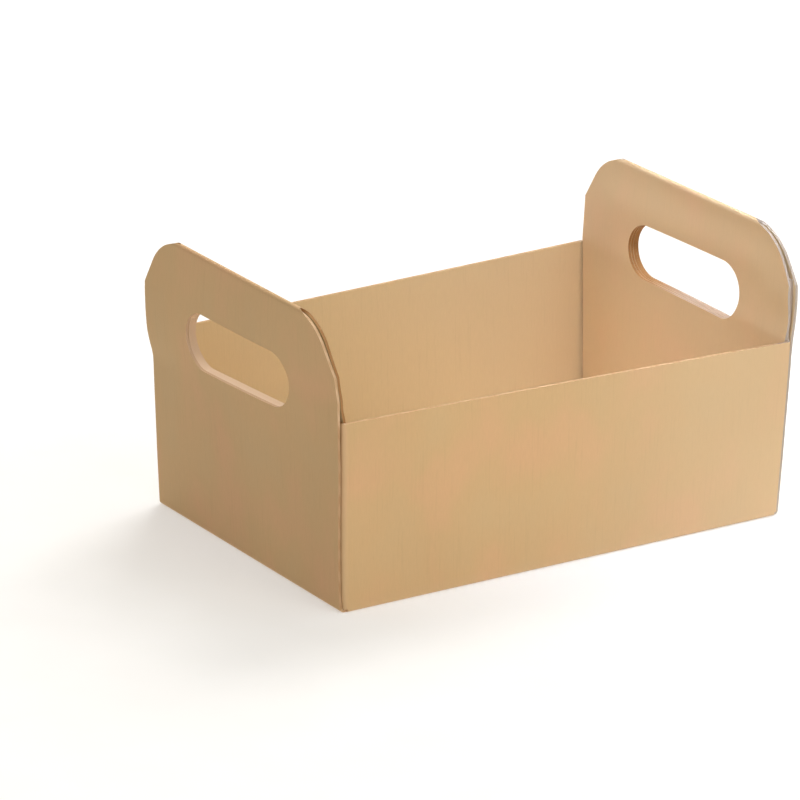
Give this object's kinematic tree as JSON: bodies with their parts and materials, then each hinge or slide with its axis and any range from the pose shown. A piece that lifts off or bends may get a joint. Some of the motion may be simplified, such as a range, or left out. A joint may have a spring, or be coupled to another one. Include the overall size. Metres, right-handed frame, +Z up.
{
  "type": "cardboard tray box",
  "caption": "Open cardboard tray with two raised, rounded end handles, folded from one sheet, with a hand hole through each end.",
  "frame": {"origin": "on the floor, under the middle of the box", "axes": "+X along the length, from one handle to the other; +Y across the width; +Z up"},
  "size_m": [0.2726, 0.18, 0.148],
  "materials": {
    "kraft_board": "matte brown kraft liner"
  },
  "bodies": {
    "root": {"tray_box": "kraft_board"}
  },
  "joints": []
}
